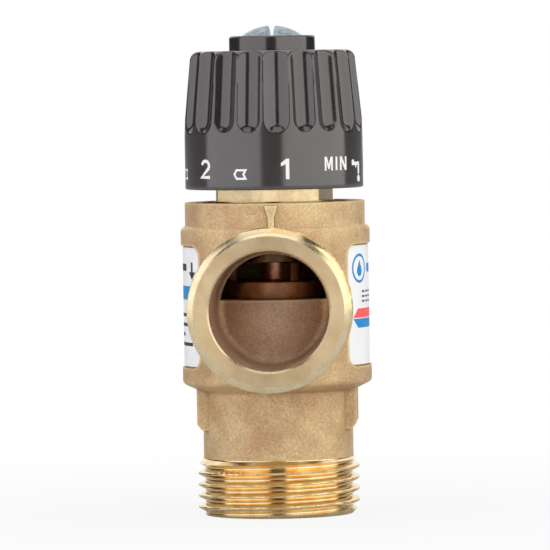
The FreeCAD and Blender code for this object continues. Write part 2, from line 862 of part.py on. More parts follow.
def spindle_clip():
    """Open ring sprung into the groove at the cup's mouth."""
    outer = clip_r - fit_gap
    ring = tube(outer, outer - clip_width, clip_bottom, clip_bottom + clip_thickness)
    half = math.radians(clip_gap_deg / 2)
    far = 2 * outer
    level = clip_bottom - overshoot
    wedge = Part.Face(Part.makePolygon([
        V(0, 0, level),
        V(far * math.cos(half), far * math.sin(half), level),
        V(far * math.cos(half), -far * math.sin(half), level),
        V(0, 0, level),
    ])).extrude(V(0, 0, clip_thickness + 2 * overshoot))
    return ring.cut(wedge)


# ---- knob and its screw ---------------------------------------------------------------------------
def knob_side_slope():
    return math.atan2((knob_skirt_d - knob_top_d) / 2, knob_height - knob_skirt_height)


def flute_cutter():
    """Ball-ended cutter for one grip flute, laid along the knob's tapered side."""
    slope = knob_side_slope()
    axis_offset = flute_radius - flute_depth
    ball_z = knob_bottom + flute_end_height + math.sqrt(flute_radius**2 - axis_offset**2)
    climb = ball_z - (knob_bottom + knob_skirt_height)
    surface_r = knob_skirt_d / 2 - max(climb, 0) * math.tan(slope)
    start = V(0, -(surface_r + axis_offset), ball_z)
    direction = V(0, math.sin(slope), math.cos(slope))
    ball = Part.makeSphere(flute_radius, start)
    shaft = Part.makeCylinder(flute_radius, knob_height, start, direction)
    return ball.fuse(shaft)


def knob():
    """Moulded cap: fluted grip, dial skirt, splined hub held by ribs, and a boss for the screw."""
    shell = knob_shell()
    cutter = flute_cutter()
    flutes = [spun(cutter, flute_first_deg + 360 * i / flute_count) for i in range(flute_count)]
    solid = shell.cut(flutes[0].fuse(flutes[1:]))
    bottom = hub_bottom - overshoot
    splines = spline_section(spline_d / 2 + running_gap, spline_root_d / 2 + running_gap, bottom)
    solid = solid.cut(splines.extrude(V(0, 0, spindle_top + fit_gap - bottom)))
    solid = solid.cut(cylinder(screw_d / 2 + screw_hole_play, hub_bottom, boss_top + overshoot))
    return solid.cut(cylinder(screw_head_d / 2 + screw_head_gap, screw_seat, boss_top + overshoot))


def knob_shell():
    cavity_r = knob_skirt_d / 2 - knob_wall
    cavity_top_r = knob_top_d / 2 - knob_wall - flute_depth
    roof = knob_top - knob_roof
    taper_from = knob_bottom + flute_end_height - overshoot
    outside = turned([
        (0, knob_bottom, 0),
        (knob_skirt_d / 2, knob_bottom, knob_rim_radius),
        (knob_skirt_d / 2, knob_bottom + knob_skirt_height, knob_shoulder_radius),
        (knob_top_d / 2, knob_top, knob_corner_radius),
        (knob_boss_d / 2, knob_top, turned_edge),
        (knob_boss_d / 2, boss_top, knob_boss_radius),
        (0, boss_top, 0),
    ])
    cavity = turned([
        (0, knob_bottom - overshoot, 0),
        (cavity_r, knob_bottom - overshoot, 0),
        (cavity_r, taper_from, knob_cavity_radius),
        (cavity_top_r, taper_from + knob_cavity_step, knob_cavity_radius),
        (cavity_top_r - knob_cavity_draft, roof, knob_cavity_root),
        (0, roof, 0),
    ])
    hub = cylinder(knob_hub_d / 2, hub_bottom, roof + overshoot)
    inner = cavity.cut(hub)
    for i in range(knob_rib_count):
        rib = Part.makeBox(knob_rib_thickness, knob_top_d, knob_rib_height)
        rib.translate(V(-knob_rib_thickness / 2, 0, roof - knob_rib_height))
        inner = inner.cut(spun(rib, 360 * i / knob_rib_count))
    return outside.cut(inner)


def knob_screw():
    """M6 pan head with a straight slot."""
    head_r = screw_head_d / 2
    head_edge = screw_seat + screw_head_height - screw_dome_height
    top = screw_seat + screw_head_height
    dome_r = (head_r**2 + screw_dome_height**2) / (2 * screw_dome_height)
    shank_bottom = screw_seat - screw_length
    tip_r = screw_d / 2 - screw_tip_bevel
    half_dome = dome_point(head_r / 2, dome_r, top)
    edges = [
        Part.LineSegment(V(0, 0, shank_bottom), V(tip_r, 0, shank_bottom)),
        Part.LineSegment(V(tip_r, 0, shank_bottom), V(screw_d / 2, 0, shank_bottom + screw_tip_bevel)),
        Part.LineSegment(V(screw_d / 2, 0, shank_bottom + screw_tip_bevel), V(screw_d / 2, 0, screw_seat)),
        Part.LineSegment(V(screw_d / 2, 0, screw_seat), V(head_r, 0, screw_seat)),
        Part.LineSegment(V(head_r, 0, screw_seat), V(head_r, 0, head_edge)),
        Part.Arc(V(head_r, 0, head_edge), half_dome, V(0, 0, top)),
        Part.LineSegment(V(0, 0, top), V(0, 0, shank_bottom)),
    ]
    solid = Part.Face(Part.Wire([e.toShape() for e in edges])).revolve(O, Z, 360)
    slot = Part.makeBox(screw_slot_width, 2 * screw_head_d, screw_slot_depth + overshoot)
    slot.translate(V(-screw_slot_width / 2, -screw_head_d, top - screw_slot_depth))
    return solid.cut(spun(slot, -screw_slot_turn_deg))


def dome_point(out, dome_r, top):
    """The dome's surface at a distance out from the screw's axis."""
    return V(out, 0, top - dome_r + math.sqrt(dome_r**2 - out**2))


# ---- all the pieces -------------------------------------------------------------------------------
def pieces():
    low_seal, high_seal = spindle_seal_heights()
    return {
        "valve_body": valve_body(),
        "rating_label_left": rating_label(-1),
        "rating_label_right": rating_label(1),
        "bonnet": bonnet(),
        "bonnet_oring": bonnet_oring(),
        "shuttle_oring": shuttle_oring(),
        "shuttle": shuttle(),
        "element_guide": element_guide(),
        "element_cup": element_cup(),
        "element_diaphragm": element_diaphragm(),
        "wax_charge": wax_charge(),
        "return_spring": return_spring(),
        "element_pin": element_pin(),
        "overtravel_plunger": overtravel_plunger(),
        "overtravel_spring": overtravel_spring(),
        "overtravel_washer": overtravel_washer(),
        "spindle_clip": spindle_clip(),
        "spindle": spindle(),
        "spindle_oring_lower": spindle_oring(low_seal),
        "spindle_oring_upper": spindle_oring(high_seal),
        "knob": knob(),
        "knob_screw": knob_screw(),
    }


def main():
    os.makedirs("parts", exist_ok=True)
    for name, shape in pieces().items():
        solids = shape.Solids
        print(f"{name}: {len(solids)} solid, {shape.Volume:.1f} mm3, valid {shape.isValid()}")
        shape.exportStep(f"parts/{name}.step")


main()
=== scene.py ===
import json
import math

import bmesh
import bpy
from mathutils import Matrix, Quaternion, Vector


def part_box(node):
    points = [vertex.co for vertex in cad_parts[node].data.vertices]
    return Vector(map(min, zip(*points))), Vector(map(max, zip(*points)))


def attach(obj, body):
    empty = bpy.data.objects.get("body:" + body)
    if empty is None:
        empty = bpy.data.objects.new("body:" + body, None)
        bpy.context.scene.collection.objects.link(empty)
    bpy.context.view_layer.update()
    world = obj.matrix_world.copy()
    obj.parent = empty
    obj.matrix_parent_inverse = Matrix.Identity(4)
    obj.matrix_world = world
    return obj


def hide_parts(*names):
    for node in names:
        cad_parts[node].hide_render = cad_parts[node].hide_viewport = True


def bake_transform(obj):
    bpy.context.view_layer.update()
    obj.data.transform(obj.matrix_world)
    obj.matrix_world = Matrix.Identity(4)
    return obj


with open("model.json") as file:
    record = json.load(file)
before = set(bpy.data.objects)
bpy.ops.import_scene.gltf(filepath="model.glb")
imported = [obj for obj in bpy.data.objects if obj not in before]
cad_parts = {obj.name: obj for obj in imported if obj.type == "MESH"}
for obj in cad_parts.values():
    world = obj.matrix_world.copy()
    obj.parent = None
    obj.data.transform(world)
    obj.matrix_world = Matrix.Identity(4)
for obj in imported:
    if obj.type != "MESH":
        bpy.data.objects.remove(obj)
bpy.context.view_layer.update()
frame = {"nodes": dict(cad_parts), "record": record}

# Looks of a three-way mixing valve: its CAD nodes with finer threads, flutes and springs, print on the dial
# and the labels, and a photo studio. Lengths are in metres, and MM turns millimetres into metres.
MM = 0.001

# ---- sizes taken from the frame -------------------------------------------------------------------
BODY_LOW, BODY_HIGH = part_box("valve_body")
KNOB_LOW, KNOB_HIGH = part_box("knob")
MOUNTS = {m["name"]: m for m in frame["record"]["mounts"]}
PORT_Z = MOUNTS["cold_inlet"]["pos_m"][2]
REACH = BODY_HIGH[1]            # from the valve's axis to an inlet's end face
KNOB_BOTTOM = KNOB_LOW[2]
BOSS_TOP = KNOB_HIGH[2]
LABEL_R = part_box("rating_label_right")[1][0]

# ---- G 1 pipe thread ------------------------------------------------------------------------------
THREAD_R = MOUNTS["mixed_outlet"]["dims"]["r_mm"] * MM
THREAD_PITCH = 25.4 * MM / 11
THREAD_DEPTH = 0.640327 * THREAD_PITCH
FLANK = math.radians(27.5)      # half of the groove's angle
THREAD_EASE = 0.07 * MM         # height over which the crests and the root are rounded
CREST_EASE = 0.08 * MM          # that the groove is wider at the crest, either side
ROOT_EASE = 0.09 * MM           # that it is narrower at the root, either side
CUTTER_RISE = 0.5 * MM          # height of the cutter above the crests
CUTTER_SPREAD = 0.1 * MM        # and how much wider than the groove it is there, either side
THREAD_START = math.radians(27) # turn at which the cutter's path starts
THREAD_LENGTH = 11.8 * MM       # machined length of an end, from its face
THREAD_END = 13.4 * MM          # the cutter's path ends here, beyond the thread
LEAD_TURNS = 1.2                # turns of the cutter before the end face
RUNOUT_TURNS = 1.6              # over the first half of these the cutter rises out of the groove
RUNOUT_R = 15.50 * MM           # just clear of the outlet's neck
CUTTER_STEPS = 72               # a turn

# ---- where the body's finishes change -------------------------------------------------------------
CAST, THREAD, FACE, INSIDE, BORED, BEVEL, POINTER = range(7)
PORT_BORE_R = 12.15 * MM
BORE_ROOM = 0.3 * MM            # between the bore and what counts as outside it
LEAD_IN = 1.65 * MM             # end bevel, with a little room
BORE_BEVEL = 0.7 * MM
SQUARE, SLOPING = 0.9, 0.3      # how squarely an end face and an end bevel look out of their end
LOW_SHADE_TOP = 57 * MM             # turned brass is darkened below this height, painted shade of the bonnet's lower end and the parts inside
INSIDE_R = 14.2 * MM            # walls nearer the valve's axis than this are inside
WEB_Y = 14 * MM                 # an inlet's bore is further from the axis than this
POINTER_WIDTH = 3.2 * MM        # the pointer lies within this width,
POINTER_FOOT = 57 * MM          # above this height
POINTER_R = 18.75 * MM          # and further out than this

# ---- knob -----------------------------------------------------------------------------------------
SKIN = 0.04 * MM                # moulded surface below the CAD's, so that its facets are all cut away
SKIRT_R = KNOB_HIGH[0] - SKIN
SKIRT_HEIGHT = 14.3 * MM
TOP_R = 17.0 * MM - SKIN
KNOB_TOP = BOSS_TOP - 3.05 * MM - SKIN
KNOB_TAPER = (SKIRT_R - TOP_R) / (KNOB_TOP - KNOB_BOTTOM - SKIRT_HEIGHT)
TOP_EDGE = 2.0 * MM
BOSS_R = 8.93 * MM - SKIN
BOSS_EDGE = 0.5 * MM
BOSS_FOOT = 0.1 * MM            # lowest row of the boss above the knob's top
RIM_EDGE = 0.36 * MM
PLAIN_RIM = 1 * MM              # lowest stretch of the skirt, a single row
FLUTES = 20
FLUTE_R = 2.9 * MM
FLUTE_DEPTH = 1.3 * MM
FLUTE_END = 11.85 * MM          # lowest point of a flute above the knob's rim
FLUTE_MARGIN = 0.8 * MM         # the close rows start this far below it
FLUTE_FIRST = math.radians(4.7) # turn of the first flute from -Y towards +X
FLUTE_SOFTNESS = 0.7 * MM       # width over which a flute's edge is rounded
FLUTE_COLUMNS = 30              # columns of faces in a flute and its rib

# ---- print and springs ----------------------------------------------------------------------------
INK_LIFT = 0.025 * MM           # printed ink above its surface
INK_JOIN = 0.001 * MM           # outlines share the corners that are this near
PRINT_EDGE = 0.6 * MM           # edges longer than this are halved, so that print follows its surface,
PRINT_SPLITS = 6                # at most this many times
SPRING_WIRE_R = 0.6 * MM
RETURN_TURNS, OVERTRAVEL_TURNS = 6.5, 5.5

# ---- studio: strengths at which a colour renders about as it is written ---------------------------
FILL = 0.76                     # even light on matt surfaces
ROOM = 0.03                     # dim room that metal mirrors in front
BACKDROP_RISE = 0.9             # the mirrored backdrop lies where y + 0.9 z of a direction
BACKDROP_FROM = 0.92            # is above this,
BACKDROP_FULL = 0.995           # and is fully white from here
FLOOR_HALF = 6.0                # half of the floor's width
FLOOR_TONE = 0.45
FLOOR_FADE = (0.03, 0.2)        # distances from the origin between which the paper fades to white
FLOOR_PALENESS = (0.88, 1.0)    # share of white at those distances
LIGHTS_AIM = 0.05               # height that the softboxes look at
SOFTBOXES = [                   # name, azimuth, elevation, distance, width, height, radiance, colour
    ("softbox_right", 60, 4, 1.0, 2.1, 1.9, 1.4, (1.0, 0.985, 0.95)),
    ("softbox_left", -54, 4, 1.0, 1.68, 1.9, 1.2, (0.99, 0.96, 1.0)),
    ("softbox_top", 0, 80, 1.1, 1.0, 0.8, 1.0, (1, 1, 1)),
]

# ---- camera ---------------------------------------------------------------------------------------
CAMERA_DISTANCE = 1.2
CAMERA_TURN = math.radians(2.5) # from the cold inlet's axis towards +X
CAMERA_HEIGHT = 93.6 * MM
CAMERA_ASIDE = 0.17 * MM        # the camera and its aim lie this far towards -X
CAMERA_LEAN = math.radians(0.95)    # roll about its line of sight
CAMERA_NEAR, CAMERA_FAR = 0.05, 20
AIM_HEIGHT = 49.25 * MM
LENS, SENSOR = 381, 36          # in millimetres


# ---- node materials -------------------------------------------------------------------------------
def srgb(r, g, b):
    """Linear colour of an 8-bit screen colour."""
    def channel(c):
        c = c / 255
        return c / 12.92 if c <= 0.04045 else ((c + 0.055) / 1.055) ** 2.4
    return (channel(r), channel(g), channel(b), 1.0)


def scaled(colour, factor):
    """A colour times a factor, no brighter than white."""
    return tuple(min(1.0, c * factor) for c in colour[:3]) + (1.0,)


class Nodes:
    """Short calls that add nodes to one material."""

    def __init__(self, name, metallic=0.0, roughness=0.5):
        self.material = bpy.data.materials.new(name)
        self.material.use_nodes = True
        self.tree = self.material.node_tree
        self.shader = self.tree.nodes["Principled BSDF"]
        self.shader.inputs["Metallic"].default_value = metallic
        self.shader.inputs["Roughness"].default_value = roughness
        self.place = self.add("ShaderNodeTexCoord").outputs["Object"]

    def add(self, kind, **inputs):
        """A new node; its inputs are given by name, with _ for a space, as values or as other outputs."""
        node = self.tree.nodes.new(kind)
        for key, value in inputs.items():
            self.set(node.inputs[key.replace("_", " ")], value)
        return node

    def set(self, socket, value):
        """Gives a socket a value or another node's output."""
        if isinstance(value, bpy.types.NodeSocket):
            self.tree.links.new(value, socket)
        else:
            socket.default_value = value

    def link(self, source, socket):
        """Joins an output to one of the shader's inputs."""
        self.tree.links.new(source, self.shader.inputs[socket])

    def noise(self, size, detail=2.0, rough=0.5):
        """Noise whose features are about size metres across."""
        node = self.add("ShaderNodeTexNoise", Vector=self.place, Scale=1 / size)
        self.set(node.inputs["Detail"], detail)
        self.set(node.inputs["Roughness"], rough)
        return node.outputs["Fac"]

    def ramp(self, value, stops):
        """Colour from a list of (position, colour)."""
        node = self.add("ShaderNodeValToRGB", Fac=value)
        marks = node.color_ramp.elements
        while len(marks) < len(stops):
            marks.new(0.5)
        for mark, (position, colour) in zip(marks, stops):
            mark.position = position
            mark.color = colour
        return node.outputs["Color"]

    def span(self, value, low, high, start=0.0, end=1.0):
        """value mapped from start..end to low..high."""
        node = self.add("ShaderNodeMapRange", Value=value)
        node.inputs["From Min"].default_value = start
        node.inputs["From Max"].default_value = end
        node.inputs["To Min"].default_value = low
        node.inputs["To Max"].default_value = high
        return node.outputs["Result"]

    def maths(self, operation, first, second=0.0):
        """Result of one sum on values or outputs."""
        node = self.add("ShaderNodeMath")
        node.operation = operation
        self.set(node.inputs[0], first)
        self.set(node.inputs[1], second)
        return node.outputs[0]

    def mixed(self, share, first, second, blend="MIX"):
        """first, with a share of second mixed over it."""
        node = self.add("ShaderNodeMix")
        node.data_type = "RGBA"
        node.blend_type = blend
        self.set(node.inputs["Factor"], share)
        sockets = [i for i in node.inputs if i.type == "RGBA"]
        self.set(sockets[0], first)
        self.set(sockets[1], second)
        return [o for o in node.outputs if o.type == "RGBA"][0]

    def crease(self, reach):
        """1 on open surface, towards 0 in corners narrower than reach."""
        node = self.add("ShaderNodeAmbientOcclusion", Distance=reach)
        node.samples = 8
        return node.outputs["AO"]

    def edges(self, reach):
        """1 on flat surface, towards 0 on outer edges sharper than reach."""
        node = self.add("ShaderNodeAmbientOcclusion", Distance=reach)
        node.samples = 8
        node.inside = True
        return node.outputs["AO"]

    def bump(self, height, strength, distance, base=None):
        """Bump on the shader, on top of another bump if base is given."""
        node = self.add("ShaderNodeBump", Height=height, Strength=strength, Distance=distance)
        if base is not None:
            self.tree.links.new(base, node.inputs["Normal"])
        self.link(node.outputs["Normal"], "Normal")
        return node.outputs["Normal"]


def cast_brass(name, warm, pale, corner_shade_colour, grain=1.0):
    """Sand-cast brass after blasting: fine pits, soft patches of two tones, painted shade in the corners,
    and outer edges paler from wear and a painted highlight.
    """
    n = Nodes(name, metallic=0.6, roughness=0.5)
    patches = n.ramp(n.noise(7 * MM, detail=4, rough=0.6), [(0.36, warm), (0.62, pale)])
    speckle = n.span(n.noise(0.42 * MM, detail=3, rough=0.7), 0.66, 1.30, 0.25, 0.75)
    skin = n.mixed(1.0, patches, speckle, "MULTIPLY")
    # painted shade: corners darken by ambient occlusion towards the last colour, patchy with noise
    corners = n.span(n.crease(1.6 * MM), 0.85, 0.0, 0.3, 0.85)
    corner_shade_share = n.maths("MULTIPLY", corners, n.span(n.noise(2 * MM, detail=3), 0.5, 1.2))
    # outer edges paler: partly wear, partly a painted highlight
    edge_wear_and_highlight = n.span(n.edges(0.7 * MM), 0.7, 0.0, 0.5, 0.95)
    worn_and_highlit = n.mixed(edge_wear_and_highlight, skin, scaled(pale, 1.35))
    n.link(n.mixed(corner_shade_share, worn_and_highlit, corner_shade_colour), "Base Color")
    n.link(n.span(n.noise(1.2 * MM, detail=3), 0.40, 0.56), "Roughness")
    waves = n.bump(n.noise(2.4 * MM, detail=2), strength=0.35 * grain, distance=0.16 * MM)
    n.bump(n.noise(0.4 * MM, detail=3, rough=0.65), strength=grain, distance=0.22 * MM, base=waves)
    return n.material


def turned_brass(name, light, dark, roughness, crease_shade=None, shaded_below=None, marks=0.1):
    """Machined brass with faint tool marks.

    The given corner colour is painted shade in its corners, and below the given height it is darkened as
    painted shade.
    """
    n = Nodes(name, metallic=1.0, roughness=roughness)
    colour = n.ramp(n.noise(3 * MM, detail=3), [(0.35, dark), (0.65, light)])
    if shaded_below is not None:
        height = n.add("ShaderNodeSeparateXYZ", Vector=n.place).outputs["Z"]
        # painted shade: darker brown below the given height
        low_shade_share = n.span(height, 1.0, 0.0, shaded_below, shaded_below + 2 * MM)
        colour = n.mixed(low_shade_share, colour, srgb(112, 90, 62))
    if crease_shade is not None:
        # painted shade: corners darken by ambient occlusion
        corner_shade_share = n.span(n.crease(0.9 * MM), 0.8, 0.0, 0.35, 0.9)
        colour = n.mixed(corner_shade_share, colour, crease_shade)
    n.link(colour, "Base Color")
    n.link(n.span(n.noise(0.8 * MM, detail=3), roughness - 0.06, roughness + 0.08), "Roughness")
    n.bump(n.noise(0.5 * MM, detail=2), strength=marks, distance=0.015 * MM)
    return n.material


def faced_brass():
    """End face of a pipe end, with the rings that the facing tool left."""
    n = Nodes("faced_brass", metallic=0.85, roughness=0.45)
    feed = 0.35 * MM
    out = n.add("ShaderNodeVectorMath", Vector=n.place)
    out.operation = "SUBTRACT"
    out.inputs[1].default_value = (0, 0, PORT_Z)
    n.shader.inputs["Anisotropic"].default_value = 0.75
    n.link(out.outputs["Vector"], "Tangent")
    axes = n.add("ShaderNodeSeparateXYZ", Vector=out.outputs["Vector"])
    across = n.maths("MULTIPLY", axes.outputs["X"], axes.outputs["X"])
    upward = n.maths("MULTIPLY", axes.outputs["Z"], axes.outputs["Z"])
    radius = n.maths("SQRT", n.maths("ADD", across, upward))
    rings = n.maths("SINE", n.maths("MULTIPLY", radius, 2 * math.pi / feed))
    tone = n.ramp(n.noise(4 * MM, detail=3), [(0.35, srgb(226, 198, 152)), (0.65, srgb(240, 216, 172))])
    n.link(tone, "Base Color")
    n.link(n.span(n.noise(1.5 * MM, detail=3), 0.36, 0.52), "Roughness")
    lines = n.bump(rings, strength=0.10, distance=0.02 * MM)
    n.bump(n.noise(0.3 * MM, detail=3), strength=0.22, distance=0.02 * MM, base=lines)
    return n.material


def knob_plastic():
    """Glossy black-brown moulding, paler on outer edges, partly from wear and partly as a painted
    highlight.
    """
    n = Nodes("knob_plastic", roughness=0.22)
    n.shader.inputs["IOR"].default_value = 1.59
    n.shader.inputs["Specular IOR Level"].default_value = 1.0
    tone = n.ramp(n.noise(5 * MM, detail=2), [(0.3, srgb(38, 31, 31)), (0.7, srgb(44, 37, 37))])
    # painted highlight on the flutes' rims and edges, partly wear
    edge_wear_and_highlight = n.span(n.edges(0.6 * MM), 0.7, 0.0, 0.5, 0.95)
    n.link(n.mixed(edge_wear_and_highlight, tone, srgb(112, 104, 104)), "Base Color")
    n.link(n.span(n.noise(0.7 * MM, detail=3), 0.11, 0.21), "Roughness")
    n.bump(n.noise(0.3 * MM, detail=3), strength=0.08, distance=0.012 * MM)
    return n.material


def print_ink(name, colour):
    """Matt ink, a little uneven."""
    n = Nodes(name, roughness=0.5)
    tone = n.ramp(n.noise(0.5 * MM, detail=2), [(0.3, scaled(colour, 0.9)), (0.6, colour)])
    n.link(tone, "Base Color")
    return n.material


def label_film():
    """White film of the labels."""
    n = Nodes("label_film", roughness=0.38)
    tone = n.ramp(n.noise(4 * MM, detail=2), [(0.3, srgb(234, 236, 239)), (0.7, srgb(241, 242, 244))])
    n.link(tone, "Base Color")
    n.bump(n.noise(1.5 * MM, detail=2), strength=0.06, distance=0.03 * MM)
    return n.material


def plain_metal(name, light, dark, roughness=0.3):
    """Steel or copper with soft patches of two tones."""
    n = Nodes(name, metallic=1.0, roughness=roughness)
    n.link(n.ramp(n.noise(1.5 * MM, detail=3), [(0.35, dark), (0.65, light)]), "Base Color")
    n.link(n.span(n.noise(0.5 * MM, detail=2), roughness - 0.06, roughness + 0.08), "Roughness")
    n.bump(n.noise(0.2 * MM, detail=3), strength=0.15, distance=0.02 * MM)
    return n.material


def soft_matter(name, light, dark, roughness):
    """Rubber or wax."""
    n = Nodes(name, roughness=roughness)
    n.link(n.ramp(n.noise(1.0 * MM, detail=3), [(0.3, dark), (0.7, light)]), "Base Color")
    n.bump(n.noise(0.4 * MM, detail=2), strength=0.1, distance=0.02 * MM)
    return n.material


# ---- mesh helpers ---------------------------------------------------------------------------------
SAME_PLACE = 1e-7               # vertices this near are one


def mesh_object(name, vertices, faces):
    """A new object in the scene from lists of vertices and faces."""
    mesh = bpy.data.meshes.new(name)
    mesh.from_pydata([tuple(v) for v in vertices], [], faces)
    mesh.validate()
    ob = bpy.data.objects.new(name, mesh)
    bpy.context.scene.collection.objects.link(ob)
    return ob


def clean(ob):
    """Joins vertices at one place and turns every face outwards."""
    bm = bmesh.new()
    bm.from_mesh(ob.data)
    bmesh.ops.remove_doubles(bm, verts=bm.verts, dist=SAME_PLACE)
    bmesh.ops.recalc_face_normals(bm, faces=bm.faces)
    if bm.calc_volume(signed=True) < 0:
        bmesh.ops.reverse_faces(bm, faces=bm.faces)
    bm.to_mesh(ob.data)
    bm.free()


def copy_of(node, name):
    """A new object with a copy of a CAD node's mesh, its vertices joined."""
    source = frame["nodes"][node]
    ob = bpy.data.objects.new(name, source.data.copy())
    bpy.context.scene.collection.objects.link(ob)
    if ob.data.has_custom_normals:
        with bpy.context.temp_override(object=ob, active_object=ob):
            bpy.ops.mesh.customdata_custom_splitnormals_clear()
    ob.data.materials.clear()
    clean(ob)
    return ob


def split(ob, point, normal):
    """Cuts the faces that cross a plane in two, so that finishes can change there."""
    bm = bmesh.new()
    bm.from_mesh(ob.data)
    everything = bm.verts[:] + bm.edges[:] + bm.faces[:]
    bmesh.ops.bisect_plane(bm, geom=everything, dist=SAME_PLACE, plane_co=point, plane_no=normal)
    bm.to_mesh(ob.data)
    bm.free()


def smooth_by_angle(ob, degrees):
    """Smooth shading with sharp edges where faces meet at more than an angle."""
    bm = bmesh.new()
    bm.from_mesh(ob.data)
    limit = math.radians(degrees)
    for f in bm.faces:
        f.smooth = True
    for e in bm.edges:
        e.smooth = len(e.link_faces) == 2 and e.calc_face_angle(0) < limit
    bm.to_mesh(ob.data)
    bm.free()


def apply_modifiers(ob):
    """Gives the object the mesh that its modifiers make."""
    graph = bpy.context.evaluated_depsgraph_get()
    mesh = bpy.data.meshes.new_from_object(ob.evaluated_get(graph))
    ob.modifiers.clear()
    ob.data = mesh


def combine(ob, other, operation):
    """Boolean with another object, worked in millimetres because metres leave it too few digits."""
    enlarge = Matrix.Scale(1 / MM, 4)
    ob.data.transform(enlarge)
    other.data.transform(enlarge)
    tool = ob.modifiers.new("boolean", "BOOLEAN")
    tool.operation = operation
    tool.solver = "MANIFOLD"
    tool.object = other
    apply_modifiers(ob)
    ob.data.transform(Matrix.Scale(MM, 4))
    ob.data.materials.clear()
    bpy.data.objects.remove(other)


# ---- thread ---------------------------------------------------------------------------------------
def groove_section():
    """Half of the groove as (distance below the crest, half width), rounded at crest and root."""
    middle = THREAD_PITCH / 4

    def half_width(depth):
        return middle + (THREAD_DEPTH / 2 - depth) * math.tan(FLANK)

    return [
        (-CUTTER_RISE, half_width(0) + CUTTER_SPREAD),
        (0, half_width(0) + CREST_EASE),
        (THREAD_EASE, half_width(THREAD_EASE)),
        (THREAD_DEPTH - THREAD_EASE, half_width(THREAD_DEPTH - THREAD_EASE)),
        (THREAD_DEPTH, half_width(THREAD_DEPTH) - ROOT_EASE),
    ]


def thread_cutter(name, place):
    """Helical groove for a male end whose face is at the origin and whose body lies along +Z."""
    half = groove_section()
    section = [(d, w) for d, w in half] + [(d, -w) for d, w in reversed(half)]
    start = -LEAD_TURNS * THREAD_PITCH
    turns = (THREAD_END - start) / THREAD_PITCH
    steps = round(turns * CUTTER_STEPS)
    runout = RUNOUT_TURNS * CUTTER_STEPS
    points = []
    for i in range(steps + 1):
        around = 2 * math.pi * i / CUTTER_STEPS + THREAD_START
        lift = min(1.0, max(0.0, i - (steps - runout)) / runout * 2)
        for depth, width in section:
            radius = THREAD_R - depth + lift * (RUNOUT_R - THREAD_R + THREAD_DEPTH)
            level = start + THREAD_PITCH * i / CUTTER_STEPS + width
            points.append(Vector((radius * math.cos(around), radius * math.sin(around), level)))
    count = len(section)
    faces = []
    for i in range(steps):
        for j in range(count):
            k = (j + 1) % count
            a, b = i * count, (i + 1) * count
            faces.append((a + j, b + j, b + k, a + k))
    faces.append(tuple(range(count)))
    faces.append(tuple(steps * count + j for j in reversed(range(count))))
    cutter = mesh_object(name, [place @ p for p in points], faces)
    clean(cutter)
    return cutter


def end_places():
    """Where each threaded end's face is, as a matrix that turns +Z into the body."""
    up = Matrix.Identity(4)
    front = Matrix.Translation((0, -REACH, PORT_Z)) @ Matrix.Rotation(math.radians(-90), 4, "X")
    rear = Matrix.Translation((0, REACH, PORT_Z)) @ Matrix.Rotation(math.radians(90), 4, "X")
    return [up, front, rear]


# ---- pieces ---------------------------------------------------------------------------------------
def make_body(finishes):
    """The CAD body with threads cut on its three ends and a finish for each kind of its surface."""
    body = copy_of("valve_body", "threaded_body")
    for i, place in enumerate(end_places()):
        combine(body, thread_cutter(f"thread_cutter_{i}", place), "DIFFERENCE")
    clean(body)
    split(body, (0, 0, THREAD_LENGTH), (0, 0, 1))
    for end in (-1, 1):
        split(body, (0, end * (REACH - THREAD_LENGTH), 0), (0, 1, 0))
    smooth_by_angle(body, degrees=32)
    for kind in range(len(finishes)):
        body.data.materials.append(finishes[kind])
    for face in body.data.polygons:
        face.material_index = body_finish(face.center, face.normal)
    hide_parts("valve_body")
    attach(body, "valve")


def body_finish(p, normal):
    """The finish at a face's centre: of an end, of a bore, of the inside, of the pointer or of the skin."""
    bore = PORT_BORE_R + BORE_ROOM
    out = math.hypot(p.x, p.y)
    outlet = (out, p.z, abs(normal.z))
    port = (math.hypot(p.x, p.z - PORT_Z), REACH - abs(p.y), abs(normal.y))
    for side, depth, facing in (outlet, port):
        if depth < THREAD_LENGTH and side > bore:
            if facing > SQUARE:
                return FACE
            return BEVEL if depth < LEAD_IN and facing > SLOPING else THREAD
    if p.z < THREAD_LENGTH:
        return BORED
    if port[0] < bore and abs(p.y) > WEB_Y:
        return INSIDE if port[1] > BORE_BEVEL else BEVEL
    if out < INSIDE_R:
        return INSIDE
    pointer = abs(p.x) < POINTER_WIDTH / 2 and p.y < 0 and p.z > POINTER_FOOT and out > POINTER_R
    return POINTER if pointer else CAST


def soft_min(a, b, width):
    """The lesser of two lengths, rounded off where they cross."""
    share = min(1.0, max(0.0, 0.5 + 0.5 * (b - a) / width))
    return b + (a - b) * share - width * share * (1 - share)


def arc_points(centre_r, centre_z, radius, start, end, count):
    """Points of an arc in the (radius, height) plane, angles in degrees from outwards towards up."""
    turns = [math.radians(start + (end - start) * i / count) for i in range(count + 1)]
    return [(centre_r + radius * math.cos(t), centre_z + radius * math.sin(t)) for t in turns]


